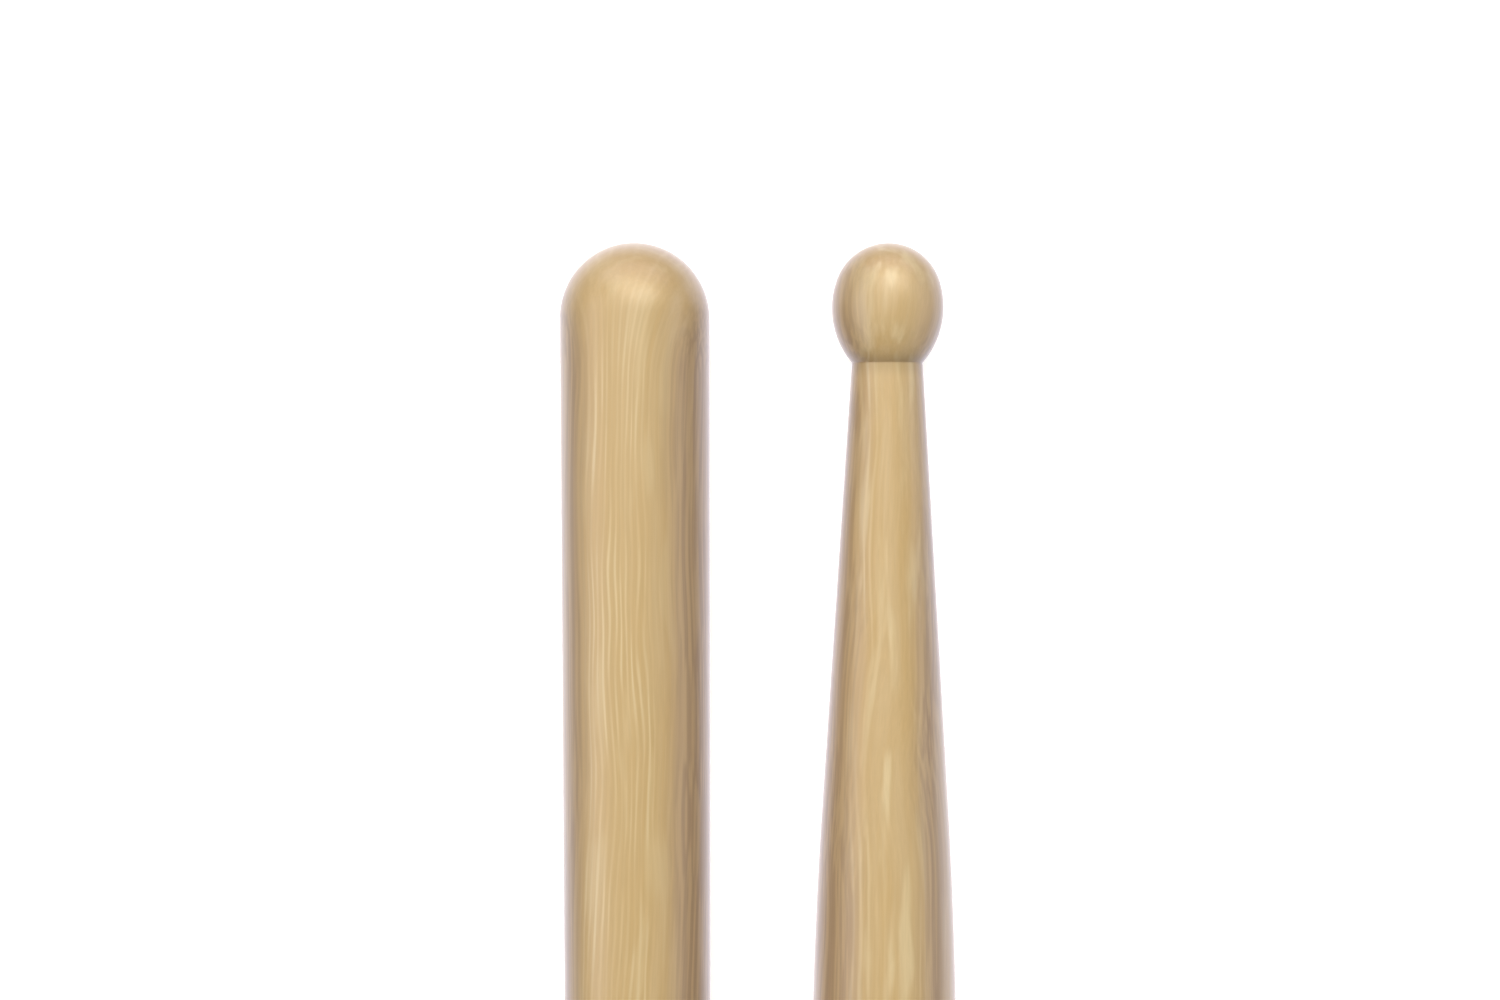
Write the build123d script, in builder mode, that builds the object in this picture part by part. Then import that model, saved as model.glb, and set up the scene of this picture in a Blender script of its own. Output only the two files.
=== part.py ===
"""Pair of wooden drumsticks with ball tips.

Each stick is turned in one piece from a wooden dowel: a hemispherical butt, a straight round
shaft, a long shoulder that sweeps into a straight taper, a thin neck and a ball tip.
The two sticks lie side by side on a table, head to tail. The left one has its butt at +Y and the
right one has its tip at +Y. The origin is on the table, midway between the sticks and midway
along them. +X runs from the left stick to the right one, +Y along both sticks, and +Z up.
"""

from build123d import *
from math import atan2, degrees, radians, sqrt, tan
import os

# Driving dimensions, in millimetres and degrees
STICK_LENGTH = 406.4  # 16 inches from butt to tip
SHAFT_DIAMETER = 14.35  # 0.565 inch, the size sold as 5A
TAPER_LENGTH = 76.2  # 3 inches from the end of the straight shaft to the neck
TAPER_HALF_ANGLE = 3.6  # between the tapered flank and the axis
NECK_DIAMETER = 6.82  # thinnest point, where the taper meets the ball
TIP_DIAMETER = 10.71  # across the widest part of the ball
TIP_CROWN_RADIUS = 5.2  # of the ball's outer end, centred on the axis
TIP_SIDE_RADIUS = 8.2  # of the ball's flank, down to the neck
STICK_PITCH = 24.33  # between the two axes

# Worked out from the driving dimensions. Stations are measured along the axis from the butt.
shaft_radius = SHAFT_DIAMETER / 2
neck_radius = NECK_DIAMETER / 2

# The ball's two arcs meet with a common tangent, so the distance between their centres is the
# difference of their radii.
crown_station = STICK_LENGTH - TIP_CROWN_RADIUS
side_centre_radius = TIP_DIAMETER / 2 - TIP_SIDE_RADIUS
centre_distance = TIP_SIDE_RADIUS - TIP_CROWN_RADIUS
side_station = crown_station - sqrt(centre_distance**2 - side_centre_radius**2)
crown_angle = degrees(atan2(-side_centre_radius, crown_station - side_station))

# The ball's flank ends where it has come in to the neck's radius.
side_rise = neck_radius - side_centre_radius
neck_station = side_station - sqrt(TIP_SIDE_RADIUS**2 - side_rise**2)
flank_angle = degrees(atan2(side_rise, neck_station - side_station))

# The shoulder is an arc tangent to the shaft and to the taper's straight flank.
half_angle = radians(TAPER_HALF_ANGLE)
shoulder_station = neck_station - TAPER_LENGTH
cone_length = (shaft_radius - neck_radius) / tan(half_angle)
shoulder_radius = (TAPER_LENGTH - cone_length) / tan(half_angle / 2)


def turned_stick(axis_plane):
    """One stick, turned about the plane's X axis, with the butt at the plane's origin."""
    with BuildPart() as stick:
        with BuildSketch(axis_plane):
            with BuildLine():
                # Rounded butt, then the straight shaft
                butt = CenterArc((shaft_radius, 0), shaft_radius, 180, -90)
                shaft = Line(butt @ 1, (shoulder_station, shaft_radius))
                # Shoulder, then the straight taper down to the neck
                shoulder = CenterArc(
                    (shoulder_station, shaft_radius - shoulder_radius),
                    shoulder_radius,
                    90,
                    -TAPER_HALF_ANGLE,
                )
                taper = Line(shoulder @ 1, (neck_station, neck_radius))
                # Ball tip: flank, then crown
                flank = CenterArc(
                    (side_station, side_centre_radius),
                    TIP_SIDE_RADIUS,
                    flank_angle,
                    crown_angle - flank_angle,
                )
                crown = CenterArc((crown_station, 0), TIP_CROWN_RADIUS, crown_angle, -crown_angle)
                # Back along the axis
                Line(crown @ 1, butt @ 0)
            make_face()
        revolve(axis=Axis(axis_plane.origin, axis_plane.x_dir))
    return stick.part


# Both axes lie one shaft radius above the table, parallel to Y.
left_butt = (-STICK_PITCH / 2, STICK_LENGTH / 2, shaft_radius)
right_butt = (STICK_PITCH / 2, -STICK_LENGTH / 2, shaft_radius)
AXIS_PLANES = {
    "left_stick": Plane(origin=left_butt, x_dir=(0, -1, 0), z_dir=(0, 0, 1)),
    "right_stick": Plane(origin=right_butt, x_dir=(0, 1, 0), z_dir=(0, 0, 1)),
}

os.makedirs("parts", exist_ok=True)
for name, axis_plane in AXIS_PLANES.items():
    stick = turned_stick(axis_plane)
    stick.label = name
    export_step(stick, f"parts/{name}.step")
    print(name, "volume in cm3:", round(stick.volume / 1000, 2))

print("shoulder arc's radius:", round(shoulder_radius, 1))
print("neck station:", round(neck_station, 2), "ball length:", round(STICK_LENGTH - neck_station, 2))
print("straight shaft, from station", round(shaft_radius, 2), "to", round(shoulder_station, 2))
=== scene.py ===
"""Two lacquered wooden drumsticks, head to tail on a pale table.

Each stick's CAD node is replaced by a finer turned shape with a solid-wood material: growth rings
round a pith that lies outside the stick, so the same rings run through the butt, the taper and the
ball. Lengths are in metres, except inside the wood material, which works in millimetres.
"""

from math import atan2, cos, pi, radians, sin, sqrt, tan

import bpy
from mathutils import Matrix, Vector


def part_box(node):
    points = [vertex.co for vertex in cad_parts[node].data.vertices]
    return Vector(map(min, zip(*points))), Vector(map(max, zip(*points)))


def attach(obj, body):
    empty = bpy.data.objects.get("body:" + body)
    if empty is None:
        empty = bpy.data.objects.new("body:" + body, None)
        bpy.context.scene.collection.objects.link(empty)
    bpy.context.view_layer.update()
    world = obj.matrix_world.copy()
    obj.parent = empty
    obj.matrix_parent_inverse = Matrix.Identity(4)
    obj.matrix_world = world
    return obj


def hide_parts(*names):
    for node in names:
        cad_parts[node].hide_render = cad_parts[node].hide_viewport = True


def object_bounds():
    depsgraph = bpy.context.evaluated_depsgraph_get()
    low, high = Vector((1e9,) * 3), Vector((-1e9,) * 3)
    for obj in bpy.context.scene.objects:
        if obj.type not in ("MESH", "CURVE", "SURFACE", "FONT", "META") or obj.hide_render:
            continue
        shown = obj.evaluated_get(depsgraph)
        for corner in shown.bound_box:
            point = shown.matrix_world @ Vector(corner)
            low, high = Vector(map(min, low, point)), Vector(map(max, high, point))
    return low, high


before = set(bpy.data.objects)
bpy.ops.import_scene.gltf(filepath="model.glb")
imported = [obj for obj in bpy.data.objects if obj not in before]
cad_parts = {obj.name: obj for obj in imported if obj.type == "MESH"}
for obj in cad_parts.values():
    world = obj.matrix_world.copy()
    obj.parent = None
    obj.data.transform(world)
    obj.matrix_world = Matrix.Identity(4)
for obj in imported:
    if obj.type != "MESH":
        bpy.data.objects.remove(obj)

cad_low, cad_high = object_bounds()

# The stick's outline, as turned
TAPER_LENGTH = 0.0762
TAPER_HALF_ANGLE = radians(3.6)
NECK_RADIUS = 0.00341
TIP_RADIUS = 0.005355
TIP_CROWN_RADIUS = 0.0052
TIP_SIDE_RADIUS = 0.0082
SIDE_CENTRE_RADIUS = TIP_RADIUS - TIP_SIDE_RADIUS  # below the axis
NECK_FILLET_RADIUS = 0.00012  # where lacquer fills the corner between ball and taper

# Mesh density
SEGMENTS = 144
SHAFT_RING_STEP = 0.0016
CAP_RINGS = 36
SHOULDER_RINGS = 32
TAPER_RINGS = 48
FLANK_RINGS = 40
FILLET_RINGS = 5

MM = 1000.0  # millimetres in a metre, for the wood material


def arc(centre, radius, start, end, rings):
    """Points along an arc in the plane of station and radius, without its first one."""
    turns = [start + (end - start) * i / rings for i in range(1, rings + 1)]
    return [(centre[0] + radius * cos(t), centre[1] + radius * sin(t)) for t in turns]


def straight(start, end, rings):
    """Evenly spaced points from start to end, without the first one."""
    return [
        (
            start[0] + (end[0] - start[0]) * i / rings,
            start[1] + (end[1] - start[1]) * i / rings,
        )
        for i in range(1, rings + 1)
    ]


def ball_tip(length):
    """Stations of the crown's centre, the flank's centre and the neck, from the butt."""
    crown_station = length - TIP_CROWN_RADIUS
    centre_distance = TIP_SIDE_RADIUS - TIP_CROWN_RADIUS
    side_station = crown_station - sqrt(centre_distance**2 - SIDE_CENTRE_RADIUS**2)
    side_rise = NECK_RADIUS - SIDE_CENTRE_RADIUS
    return crown_station, side_station, side_station - sqrt(TIP_SIDE_RADIUS**2 - side_rise**2)


def stick_outline(length, shaft_radius):
    """Station along the axis, from the butt, and radius there, for every ring of the mesh."""
    crown_station, side_station, neck_station = ball_tip(length)
    crown_angle = atan2(-SIDE_CENTRE_RADIUS, crown_station - side_station)
    shoulder_station = neck_station - TAPER_LENGTH
    cone_length = (shaft_radius - NECK_RADIUS) / tan(TAPER_HALF_ANGLE)
    shoulder_radius = (TAPER_LENGTH - cone_length) / tan(TAPER_HALF_ANGLE / 2)

    # The fillet rolls in the corner: its centre is one radius off the taper and off the flank.
    across = (sin(TAPER_HALF_ANGLE), cos(TAPER_HALF_ANGLE))
    along = (cos(TAPER_HALF_ANGLE), -sin(TAPER_HALF_ANGLE))
    foot = (
        neck_station + NECK_FILLET_RADIUS * across[0],
        NECK_RADIUS + NECK_FILLET_RADIUS * across[1],
    )
    reach = TIP_SIDE_RADIUS + NECK_FILLET_RADIUS
    gap = (foot[0] - side_station, foot[1] - SIDE_CENTRE_RADIUS)
    half = gap[0] * along[0] + gap[1] * along[1]
    back = -half - sqrt(half**2 - (gap[0] ** 2 + gap[1] ** 2 - reach**2))
    fillet_centre = (foot[0] + back * along[0], foot[1] + back * along[1])
    fillet_start = (
        fillet_centre[0] - NECK_FILLET_RADIUS * across[0],
        fillet_centre[1] - NECK_FILLET_RADIUS * across[1],
    )
    flank_angle = atan2(fillet_centre[1] - SIDE_CENTRE_RADIUS, fillet_centre[0] - side_station)

    outline = [(0.0, 0.0)]
    outline += arc((shaft_radius, 0.0), shaft_radius, pi, pi / 2, CAP_RINGS)
    shaft_rings = round((shoulder_station - shaft_radius) / SHAFT_RING_STEP)
    outline += straight(outline[-1], (shoulder_station, shaft_radius), shaft_rings)
    shoulder_centre = (shoulder_station, shaft_radius - shoulder_radius)
    outline += arc(
        shoulder_centre, shoulder_radius, pi / 2, pi / 2 - TAPER_HALF_ANGLE, SHOULDER_RINGS
    )
    outline += straight(outline[-1], fillet_start, TAPER_RINGS)
    outline += arc(
        fillet_centre,
        NECK_FILLET_RADIUS,
        -pi / 2 - TAPER_HALF_ANGLE,
        flank_angle - pi,
        FILLET_RINGS,
    )
    outline += arc(
        (side_station, SIDE_CENTRE_RADIUS),
        TIP_SIDE_RADIUS,
        flank_angle,
        crown_angle,
        FLANK_RINGS,
    )
    outline += arc((crown_station, 0.0), TIP_CROWN_RADIUS, crown_angle, 0.0, CAP_RINGS)
    outline[-1] = (length, 0.0)
    return outline


def turned_mesh(name, outline, butt, along):
    """A closed, smooth mesh, turned about the axis that runs from butt along +Y or -Y."""
    vertices, faces = [], []
    for station, radius in outline[1:-1]:
        for i in range(SEGMENTS):
            turn = 2 * pi * i / SEGMENTS
            vertices.append(
                (
                    butt[0] + along * radius * cos(turn),
                    butt[1] + along * station,
                    butt[2] + radius * sin(turn),
                )
            )
    rings = len(outline) - 2
    for ring in range(rings - 1):
        for i in range(SEGMENTS):
            here, there = ring * SEGMENTS, (ring + 1) * SEGMENTS
            after = (i + 1) % SEGMENTS
            faces.append((here + i, there + i, there + after, here + after))
    first_pole = len(vertices)
    vertices.append((butt[0], butt[1], butt[2]))
    vertices.append((butt[0], butt[1] + along * outline[-1][0], butt[2]))
    last_ring = (rings - 1) * SEGMENTS
    for i in range(SEGMENTS):
        after = (i + 1) % SEGMENTS
        faces.append((first_pole, i, after))
        faces.append((first_pole + 1, last_ring + after, last_ring + i))
    mesh = bpy.data.meshes.new(name)
    mesh.from_pydata(vertices, [], faces)
    mesh.validate()
    mesh.shade_smooth()
    piece = bpy.data.objects.new(name, mesh)
    bpy.context.collection.objects.link(piece)
    return piece


class Shader:
    """A material's node tree, with one short call for each kind of node."""

    def __init__(self, name):
        self.material = bpy.data.materials.new(name)
        self.material.use_nodes = True
        self.tree = self.material.node_tree
        self.surface = self.tree.nodes["Principled BSDF"]

    def put(self, socket, value):
        """Links another node's output to the socket, or sets the socket to a plain value."""
        if isinstance(value, bpy.types.NodeSocket):
            self.tree.links.new(value, socket)
        else:
            socket.default_value = value

    def math(self, operation, *values):
        node = self.tree.nodes.new("ShaderNodeMath")
        node.operation = operation
        for socket, value in zip(node.inputs, values):
            self.put(socket, value)
        return node.outputs[0]

    def vector(self, operation, *values):
        node = self.tree.nodes.new("ShaderNodeVectorMath")
        node.operation = operation
        for socket, value in zip(node.inputs, values):
            self.put(socket, value)
        return node.outputs[1 if operation == "LENGTH" else 0]

    def scaled(self, vector, factor):
        node = self.tree.nodes.new("ShaderNodeVectorMath")
        node.operation = "SCALE"
        self.put(node.inputs[0], vector)
        self.put(node.inputs["Scale"], factor)
        return node.outputs[0]

    def noise(self, place, fineness, detail=2.0, roughness=0.5, colour=False):
        """Noise, mostly between 0.3 and 0.7, of that many features per millimetre on each axis."""
        node = self.tree.nodes.new("ShaderNodeTexNoise")
        self.put(node.inputs["Vector"], self.vector("MULTIPLY", place, fineness))
        node.inputs["Scale"].default_value = 1.0
        node.inputs["Detail"].default_value = detail
        node.inputs["Roughness"].default_value = roughness
        return node.outputs[1 if colour else 0]

    def split(self, vector):
        """The vector's x, y and z."""
        node = self.tree.nodes.new("ShaderNodeSeparateXYZ")
        self.put(node.inputs[0], vector)
        return node.outputs[0], node.outputs[1], node.outputs[2]

    def joined(self, x, y, z):
        node = self.tree.nodes.new("ShaderNodeCombineXYZ")
        for socket, value in zip(node.inputs, (x, y, z)):
            self.put(socket, value)
        return node.outputs[0]

    def fit(self, value, low, high, to_low=0.0, to_high=1.0):
        """Maps low..high to to_low..to_high, smoothly and with both ends held."""
        node = self.tree.nodes.new("ShaderNodeMapRange")
        node.interpolation_type = "SMOOTHSTEP"
        for name, number in (
            ("From Min", low),
            ("From Max", high),
            ("To Min", to_low),
            ("To Max", to_high),
        ):
            node.inputs[name].default_value = number
        self.put(node.inputs["Value"], value)
        return node.outputs["Result"]

    def window(self, value, low, high, soft):
        """1 between low and high, falling softly to 0 outside them."""
        rise = self.fit(value, low - soft, low + soft)
        fall = self.fit(value, high - soft, high + soft, 1.0, 0.0)
        return self.math("MULTIPLY", rise, fall)

    def mix(self, factor, first, second):
        node = self.tree.nodes.new("ShaderNodeMix")
        node.data_type = "RGBA"
        self.put(node.inputs["Factor"], factor)
        self.put(node.inputs[6], first)
        self.put(node.inputs[7], second)
        return node.outputs[2]


# Wood colours, linear. The base, orange and pale ones blend into each other. Light rings, flat
# figure, pores, painted shade on the sides and painted shade in the neck's corner lie over them.
BASE_COLOUR = (0.650, 0.467, 0.233, 1)
ORANGE_COLOUR = (0.628, 0.429, 0.184, 1)
PALE_COLOUR = (0.690, 0.510, 0.270, 1)
LIGHT_RING_COLOUR = (0.760, 0.588, 0.318, 1)
# Painted shade: the dull brown that darkens the stick's sides
PAINTED_SIDE_SHADE_COLOUR = (0.405, 0.269, 0.148, 1)
PORE_COLOUR = (0.330, 0.200, 0.085, 1)
# Painted shade: the dark colour laid in the corner where the ball meets the taper
CREASE_SHADE_COLOUR = (0.270, 0.150, 0.090, 1)

# How much of one colour is mixed over another
PALE_SHARE = 0.5
BUNDLE_SHARE = 0.6
PORE_SHARE = 0.10
# How much of the painted shade colour lies in the neck's corner
CREASE_SHADE_SHARE = 0.20

# How much of the light lines and of the painted side shade is left at the +Y end
LINES_AT_END = 0.4
SIDE_SHADE_AT_END = 0.55

# Lengths in the wood, in millimetres
PITH_DISTANCE = 45.0  # from the stick's axis to the middle of the tree
FAN_LENGTH = 13.0  # of the +Y end, over which the lines fan out
FADE_START = 12.0  # from the +Y end, where the lines and the painted side shade begin to fade towards it
FADE_END = 3.0  # from the +Y end, where they stop fading
BUNDLE_SOFTNESS = 0.6  # of the edges of a bundle of light rings
SIDE_SHADE_SOFTNESS = 1.5  # of the edges of a band of painted side shade
CREASE_SHADE_REACH = 0.9  # of the ball that the painted crease shade covers, from the corner beside the taper
CREASE_SHADE_EDGE = 0.2  # of the taper, over which the painted crease shade ends
CORNER_SHADE_REACH = 1.7  # of ball and taper that are painted a little darker as shade, on either side of the corner

# How fine each pattern is, in features per millimetre along X, Y and Z
BROAD_STREAKS = (0.30, 0.016, 0.30)
PALE_STREAKS = (1.1, 0.035, 1.1)
# Streaks within the painted side shade
SIDE_SHADE_STREAKS = (2.6, 0.022, 2.6)
FIGURE = (0.66, 0.075, 0.66)
PATCHES = (0.20, 0.060, 0.20)
RING_WAVER = (0.8, 0.09, 0.8)
RING_FADING = (1.0, 0.085, 0.05)
RING_JUMP = 3.7  # how far apart two neighbouring rings read their fading, along X
FIBRES = (6.5, 0.16, 6.5)
PORES = (7.0, 0.45, 7.0)

# Half the width of a light line, as shares of the spacing: full strength, and gone
LINE_CORE = 0.02
LINE_EDGE = 0.32

# How the grain wanders: how fine each wave is, and how many millimetres from side to side
WANDERINGS = (
    ((0.05, 0.026, 0.05), 2.5),
    ((0.18, 0.065, 0.18), 1.3),
    ((0.50, 0.120, 0.50), 0.35),
)


def wood_place(shader, origin, tilt, seed, fan, fan_centre):
    """A point's place in the wood, along wandering grain and along straight grain.

    Both are in millimetres from the middle of the +Y end, tilted by the run-out of the grain, and
    the seed moves the straight one aside, to noise of its own. A fan under 1 spreads the lines at
    that end, away from the X fan_centre, to 1 / fan as far apart.
    """
    here = shader.tree.nodes.new("ShaderNodeTexCoord").outputs["Object"]
    here = shader.vector("SUBTRACT", here, origin)
    here = shader.vector("MULTIPLY", here, (MM, MM, MM))
    turned = shader.tree.nodes.new("ShaderNodeVectorRotate")
    turned.rotation_type = "EULER_XYZ"
    shader.put(turned.inputs["Vector"], here)
    turned.inputs["Rotation"].default_value = tilt

    # Lines fan out over the +Y end
    x, y, z = shader.split(turned.outputs[0])
    closing = shader.fit(y, -FAN_LENGTH, 0.0, 1.0, fan)
    aside = shader.math("SUBTRACT", x, fan_centre)
    x = shader.math("MULTIPLY_ADD", aside, closing, fan_centre)
    fanned = shader.joined(x, y, z)

    place = shader.vector("ADD", fanned, (seed, 0, seed))
    warped = fanned
    for fineness, swing in WANDERINGS:
        push = shader.noise(place, fineness, 0.0, colour=True)
        push = shader.vector("SUBTRACT", push, (0.5, 0.5, 0.5))
        warped = shader.vector("ADD", warped, shader.vector("MULTIPLY", push, (swing, 0, swing)))
    return warped, place


def ring_depth(shader, warped, ring_normal):
    """Millimetres across the rings, away from the pith, with zero at the stick's axis."""
    pith = (ring_normal[0] * PITH_DISTANCE, 0, ring_normal[1] * PITH_DISTANCE)
    from_pith = shader.vector("MULTIPLY", shader.vector("ADD", warped, pith), (1, 0, 1))
    return shader.math("SUBTRACT", shader.vector("LENGTH", from_pith), PITH_DISTANCE)


def banded(shader, depth, bands, outside, soft):
    """1 inside the bands of depth, falling softly to a lower level outside them."""
    level = outside
    for low, high in bands:
        level = shader.math("MAXIMUM", level, shader.window(depth, low, high, soft))
    return level


def faded(shader, value, y, end_share):
    """The value, falling to a share of itself at the +Y end."""
    return shader.math("MULTIPLY", value, shader.fit(y, -FADE_START, -FADE_END, 1.0, end_share))


def ring_lines(shader, place, depth, spacing):
    """Light lines, one a ring, each of which wavers, fades out and comes back along the stick."""
    _, y, z = shader.split(place)
    waver = shader.noise(place, RING_WAVER, 1.0)
    count = shader.math("ADD", shader.math("DIVIDE", depth, spacing), waver)
    ring = shader.math("FLOOR", count)
    within = shader.math("SUBTRACT", count, ring)
    crest = shader.math("ABSOLUTE", shader.math("SUBTRACT", within, 0.5))
    line = shader.fit(crest, LINE_CORE, LINE_EDGE, 1.0, 0.0)
    along = shader.joined(shader.math("MULTIPLY", ring, RING_JUMP), y, z)
    fading = shader.fit(shader.noise(along, RING_FADING, 1.0), 0.34, 0.58, 0.25, 1.0)
    return shader.math("MULTIPLY", line, fading)


def streaky_colour(shader, warped):
    """The wood's colour before its rings, in broad orange streaks and narrower pale ones."""
    broad = shader.fit(shader.noise(warped, BROAD_STREAKS), 0.34, 0.66)
    colour = shader.mix(broad, ORANGE_COLOUR, BASE_COLOUR)
    pale = shader.fit(shader.noise(warped, PALE_STREAKS), 0.36, 0.70)
    return shader.mix(shader.math("MULTIPLY", pale, PALE_SHARE), colour, PALE_COLOUR)


def side_shade_colour(shader, warped):
    """The streaked dull brown that is painted over the stick's sides as shade."""
    streak = shader.fit(shader.noise(warped, SIDE_SHADE_STREAKS, 1.0), 0.34, 0.68, 0.05, 0.55)
    return shader.mix(streak, PAINTED_SIDE_SHADE_COLOUR, BASE_COLOUR)


def neck_painted_shade(shader, neck, along):
    """How much painted shade darkens the corner of the neck, and the painted shade that scales the
    colour round it.

    neck is the Y of the corner, and along is +1 or -1, the way from there to the ball.
    """
    here = shader.split(shader.tree.nodes.new("ShaderNodeTexCoord").outputs["Object"])[1]
    past = shader.math("MULTIPLY", shader.math("SUBTRACT", here, neck), MM * along)
    # Painted shade: darkest in the corner, fading over the ball and ending just onto the taper
    crease_shade = shader.math(
        "MULTIPLY",
        shader.fit(past, 0.0, CREASE_SHADE_REACH, 1.0, 0.0),
        shader.fit(past, -CREASE_SHADE_EDGE, 0.0, 0.0, CREASE_SHADE_SHARE),
    )
    # Painted shade: the colour is scaled down to 0.83 on both sides of the corner
    return crease_shade, shader.fit(shader.math("ABSOLUTE", past), 0.0, CORNER_SHADE_REACH, 0.83, 1.0)


def lacquer(shader, fibre, line):
    """A satin-gloss clear coat over faintly raised fibres and rings."""
    shader.put(shader.surface.inputs["Roughness"], shader.fit(fibre, 0.3, 0.7, 0.42, 0.50))
    bump = shader.tree.nodes.new("ShaderNodeBump")
    bump.inputs["Strength"].default_value = 0.25
    bump.inputs["Distance"].default_value = 0.00003
    shader.put(bump.inputs["Height"], shader.math("MULTIPLY_ADD", line, 0.35, fibre))
    shader.put(shader.surface.inputs["Normal"], bump.outputs["Normal"])
    shader.surface.inputs["Specular IOR Level"].default_value = 0.1
    shader.surface.inputs["Coat Weight"].default_value = 1.0
    shader.surface.inputs["Coat Roughness"].default_value = 0.33
    shader.surface.inputs["Coat IOR"].default_value = 1.5


def lacquered_wood(
    name, origin, neck, along, ring_normal, ring_spacing, tilt, seed, bundles, quiet, flat, dull, fan
):
    """Pale wood under a clear lacquer.

    The rings stack up along ring_normal, across the stick. bundles and the side-shade bands are
    stretches in
    millimetres along it: where the rings show as strong light lines, and where brown is painted on
    the stick's sides as shade.
    quiet is how much the other rings show, flat is how much flat-sawn figure there is, and fan is
    what wood_place calls fan and fan_centre.
    """
    shader = Shader(name)
    warped, place = wood_place(shader, origin, tilt, seed, *fan)
    y = shader.split(place)[1]
    depth = ring_depth(shader, warped, ring_normal)

    # Light rings, stronger in the bundles and in patches along the stick
    bundle = banded(shader, depth, bundles, quiet, BUNDLE_SOFTNESS)
    patch = shader.fit(shader.noise(place, PATCHES, 1.0), 0.36, 0.60, 0.25, 1.0)
    line = shader.math("MULTIPLY", ring_lines(shader, place, depth, ring_spacing), patch)
    line = faded(shader, shader.math("MULTIPLY", line, bundle), y, LINES_AT_END)

    # Colours over one another
    colour = streaky_colour(shader, warped)
    colour = shader.mix(shader.math("MULTIPLY", bundle, BUNDLE_SHARE), colour, ORANGE_COLOUR)
    figure = shader.fit(shader.noise(warped, FIGURE, 2.0, 0.4), 0.50, 0.68, 0.0, flat)
    colour = shader.mix(figure, colour, LIGHT_RING_COLOUR)
    colour = shader.mix(line, colour, LIGHT_RING_COLOUR)
    # Painted shade: dull brown over the stick's sides, fading towards the +Y end
    painted_side_shade = faded(shader, banded(shader, depth, dull, 0.0, SIDE_SHADE_SOFTNESS), y, SIDE_SHADE_AT_END)
    colour = shader.mix(painted_side_shade, colour, side_shade_colour(shader, warped))
    pore = shader.fit(shader.noise(place, PORES, 1.0), 0.72, 0.80)
    colour = shader.mix(shader.math("MULTIPLY", pore, PORE_SHARE), colour, PORE_COLOUR)
    # Painted shade in the neck's corner and round it
    crease_shade, corner_shade = neck_painted_shade(shader, neck, along)
    colour = shader.mix(crease_shade, colour, CREASE_SHADE_COLOUR)

    fibre = shader.noise(warped, FIBRES, 3.0, 0.6)
    fibre_shade = shader.fit(fibre, 0.25, 0.75, 0.97, 1.03)
    # The fibre tone is grain; the corner's darkening is painted shade
    shade = shader.math("MULTIPLY", fibre_shade, corner_shade)
    shader.put(shader.surface.inputs["Base Color"], shader.scaled(colour, shade))
    lacquer(shader, fibre, line)
    return shader.material


def finished_stick(node, along, **grain):
    """The turned, lacquered stick that stands for a CAD node.

    along is +1 or -1, the way from butt to ball along Y. The rest describes the wood's grain.
    """
    low, high = (Vector(corner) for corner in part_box(node))
    middle = (low + high) / 2
    length = high.y - low.y
    shaft_radius = (high.x - low.x) / 2
    butt = (middle.x, middle.y - along * length / 2, middle.z)
    piece = turned_mesh(node + "_turned", stick_outline(length, shaft_radius), butt, along)
    neck = butt[1] + along * ball_tip(length)[2]
    material = lacquered_wood(node + "_wood", (middle.x, high.y, middle.z), neck, along, **grain)
    piece.data.materials.append(material)
    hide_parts(node)
    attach(piece, node)


# The floor, in lengths of the sticks
FLOOR_SIZE = 30
GLOW_START = 1.2  # from the sticks' middle, where the floor's glow begins to rise
GLOW_END = 4.8  # and where it is as bright as the white behind the floor


def pale_floor(centre, reach):
    """A large white table top. The world's white stands in for the light that it throws back."""
    half = FLOOR_SIZE * reach / 2
    corners = [
        (centre.x + x * half, centre.y + y * half, centre.z)
        for x, y in ((-1, -1), (1, -1), (1, 1), (-1, 1))
    ]
    mesh = bpy.data.meshes.new("floor")
    mesh.from_pydata(corners, [], [(0, 1, 2, 3)])
    floor = bpy.data.objects.new("floor", mesh)
    bpy.context.collection.objects.link(floor)
    floor.visible_diffuse = False
    floor.visible_glossy = False
    floor.visible_shadow = False
    shader = Shader("floor_white")
    shader.surface.inputs["Base Color"].default_value = (0.86, 0.86, 0.86, 1)
    shader.surface.inputs["Roughness"].default_value = 0.9
    shader.surface.inputs["Specular IOR Level"].default_value = 0.0
    shader.surface.inputs["Emission Color"].default_value = (1, 1, 1, 1)
    here = shader.tree.nodes.new("ShaderNodeTexCoord").outputs["Object"]
    away = shader.vector("LENGTH", shader.vector("SUBTRACT", here, centre))
    glow = shader.fit(away, GLOW_START * reach, GLOW_END * reach, 0.6, 1.0)
    shader.put(shader.surface.inputs["Emission Strength"], glow)
    mesh.materials.append(shader.material)


def softbox(name, target, polar, azimuth, distance, width, height, radiance):
    """An oval light that faces target and isn't seen itself.

    polar is measured from straight up and azimuth from +X, towards +Y, both in degrees.
    """
    lamp = bpy.data.lights.new(name, "AREA")
    lamp.shape = "ELLIPSE"
    lamp.size = width
    lamp.size_y = height
    lamp.energy = pi * (pi / 4 * width * height) * radiance  # watts: pi times area times radiance
    light = bpy.data.objects.new(name, lamp)
    bpy.context.collection.objects.link(light)
    polar, azimuth = radians(polar), radians(azimuth)
    towards = Vector((sin(polar) * cos(azimuth), sin(polar) * sin(azimuth), cos(polar)))
    light.location = target + towards * distance
    light.rotation_euler = towards.to_track_quat("Z", "Y").to_euler()
    light.visible_camera = False
    return light


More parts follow.
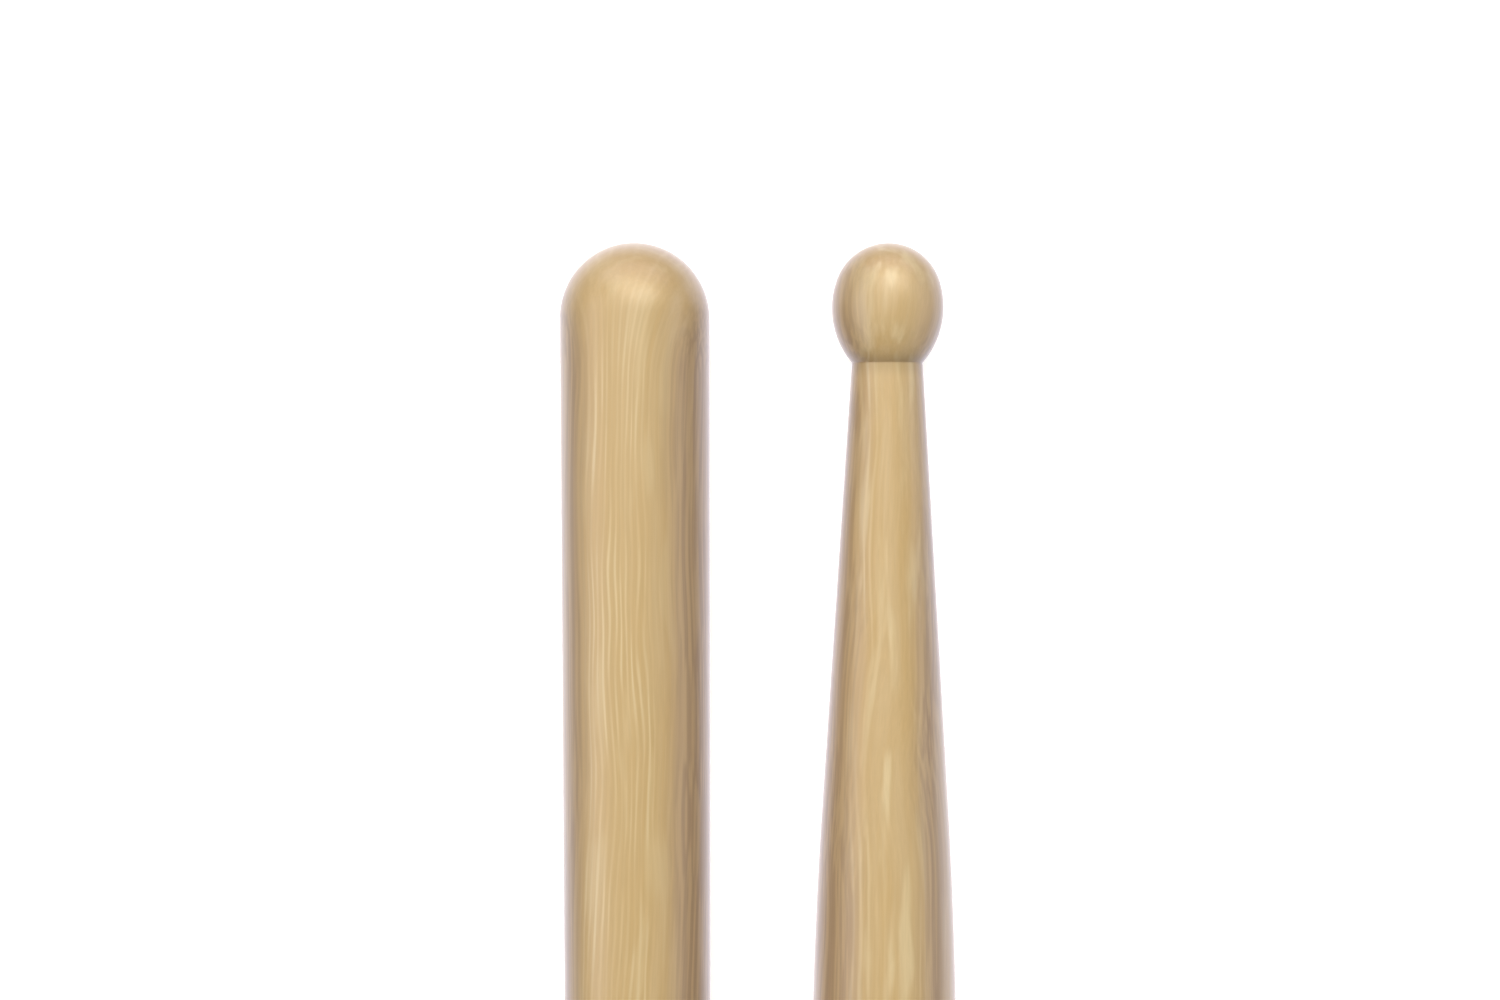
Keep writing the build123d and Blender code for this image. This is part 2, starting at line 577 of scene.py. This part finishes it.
# Tints of what the lacquer mirrors
WARM = (1.0, 0.98, 0.95)
MAUVE = (1.0, 0.88, 1.36)
COOL = (1.0, 0.99, 1.24)

# Panels that only the lacquer mirrors: name, degrees from straight up, degrees from +X towards
# +Y, width and height in lengths of the sticks, radiance, tint
PANELS = (
    ("sheen", 50, 80, 3.6, 1.6, 3.5, WARM),
    ("back_panel", 78, 90, 5.0, 1.4, 1.6, MAUVE),
    ("left_panel", 60, 180, 5.0, 1.6, 1.7, COOL),
    ("right_panel", 74, 0, 5.0, 1.3, 1.2, COOL),
    ("right_card", 107, 0, 5.0, 1.2, 1.0, COOL),
)
LIGHT_DISTANCE = 3  # in lengths of the sticks


def studio_lights(middle, reach):
    """A key and a fill that light the wood, and the panels."""
    away = LIGHT_DISTANCE * reach
    key = softbox(
        "key",
        middle,
        polar=26,
        azimuth=104,
        distance=away,
        width=3.0 * reach,
        height=2.6 * reach,
        radiance=4.6,
    )
    key.visible_glossy = False
    for name, polar, azimuth, width, height, radiance, tint in PANELS:
        panel = softbox(name, middle, polar, azimuth, away, width * reach, height * reach, radiance)
        panel.visible_diffuse = False
        panel.data.color = tint
    softbox(
        "fill",
        middle,
        polar=66,
        azimuth=270,
        distance=away,
        width=3.0 * reach,
        height=1.5 * reach,
        radiance=0.25,
    )


# What the lacquer mirrors of the world, from straight down (0) through the horizon (0.5) to
# straight up (1): place and brightness
WORLD_STOPS = ((0.0, 1.8), (0.24, 1.7), (0.40, 0.25), (0.50, 0.12), (1.0, 0.12))
WORLD_TINT = (1.0, 0.97, 1.10)

# The world lights the wood with this share of it, and this much everywhere
WORLD_LIGHT_SHARE = 0.28
WORLD_LIGHT_BASE = 0.09


def studio_world():
    """What the lacquer mirrors and what softly lights the wood: white below, and dim above.

    The camera itself sees plain white behind the floor.
    """
    world = bpy.data.worlds.new("studio")
    bpy.context.scene.world = world
    world.use_nodes = True
    tree = world.node_tree
    place = tree.nodes.new("ShaderNodeTexCoord")
    split = tree.nodes.new("ShaderNodeSeparateXYZ")
    ramp = tree.nodes.new("ShaderNodeValToRGB")
    height = tree.nodes.new("ShaderNodeMapRange")
    height.inputs["From Min"].default_value = -1.0
    for (where, level), element in zip(WORLD_STOPS, new_stops(ramp.color_ramp, len(WORLD_STOPS))):
        element.position = where
        element.color = (*(level * channel for channel in WORLD_TINT), 1)
    rays = tree.nodes.new("ShaderNodeLightPath")
    lighting = tree.nodes.new("ShaderNodeMix")
    lighting.data_type = "RGBA"
    soft = tree.nodes.new("ShaderNodeVectorMath")
    soft.operation = "MULTIPLY_ADD"
    soft.inputs[1].default_value = (WORLD_LIGHT_SHARE,) * 3
    soft.inputs[2].default_value = (WORLD_LIGHT_BASE,) * 3
    choice = tree.nodes.new("ShaderNodeMix")
    choice.data_type = "RGBA"
    choice.inputs[7].default_value = (1, 1, 1, 1)
    tree.links.new(place.outputs["Generated"], split.inputs[0])
    tree.links.new(split.outputs["Z"], height.inputs["Value"])
    tree.links.new(height.outputs["Result"], ramp.inputs["Fac"])
    tree.links.new(rays.outputs["Is Diffuse Ray"], lighting.inputs["Factor"])
    tree.links.new(ramp.outputs["Color"], lighting.inputs[6])
    tree.links.new(ramp.outputs["Color"], soft.inputs[0])
    tree.links.new(soft.outputs[0], lighting.inputs[7])
    tree.links.new(rays.outputs["Is Camera Ray"], choice.inputs["Factor"])
    tree.links.new(lighting.outputs[2], choice.inputs[6])
    tree.links.new(choice.outputs[2], tree.nodes["Background"].inputs["Color"])


def new_stops(ramp, count):
    """The colour ramp's elements, after adding enough of them."""
    while len(ramp.elements) < count:
        ramp.elements.new(1.0)
    return list(ramp.elements)


# Camera: nearly straight down on the +Y ends, and the sticks run out of the picture below
FOCAL_LENGTH = 37.9  # millimetres
SENSOR_WIDTH = 36  # millimetres
CAMERA_DISTANCE = 0.1531  # from the point that it looks at
CAMERA_TILT = radians(3.3)
AIM_ASIDE = -0.00108  # of that point, along X from midway between the sticks
AIM_SHORT_OF_END = 0.0247  # of that point, along -Y from the +Y ends


def add_camera():
    data = bpy.data.cameras.new("camera")
    data.sensor_width = SENSOR_WIDTH
    data.lens = FOCAL_LENGTH
    data.clip_start = 0.01
    camera = bpy.data.objects.new("camera", data)
    bpy.context.collection.objects.link(camera)
    middle = (cad_low[0] + cad_high[0]) / 2
    height = (cad_low[2] + cad_high[2]) / 2
    aim = Vector((middle + AIM_ASIDE, cad_high[1] - AIM_SHORT_OF_END, height))
    camera.location = aim + CAMERA_DISTANCE * Vector((0, sin(CAMERA_TILT), cos(CAMERA_TILT)))
    camera.rotation_euler = (-CAMERA_TILT, 0, 0)
    bpy.context.scene.camera = camera


finished_stick(
    "left_stick",
    along=-1,
    ring_normal=(1.0, 0.0),
    ring_spacing=0.52,
    tilt=(radians(0.4), 0, radians(0.1)),
    seed=79.0,
    bundles=((-4.0, 2.0),),
    quiet=0.12,
    flat=0.35,
    # Stretches painted brown as side shade
    dull=((-6.7, -4.3), (4.1, 8.6)),
    fan=(0.45, -1.9),
)
finished_stick(
    "right_stick",
    along=1,
    ring_normal=(-1.0, 0.0),
    ring_spacing=0.66,
    tilt=(radians(-0.5), 0, radians(1.1)),
    seed=61.0,
    bundles=((1.2, 3.6), (-6.0, -3.0)),
    quiet=0.25,
    flat=0.9,
    # Stretches painted brown as side shade
    dull=((-6.4, -3.7), (2.5, 6.8)),
    fan=(0.85, 0.0),
)

middle = Vector(((cad_low[0] + cad_high[0]) / 2, (cad_low[1] + cad_high[1]) / 2, cad_low[2]))
reach = cad_high[1] - cad_low[1]
pale_floor(middle, reach)
studio_lights(middle, reach)
studio_world()
add_camera()
bpy.context.scene.view_settings.view_transform = "Standard"
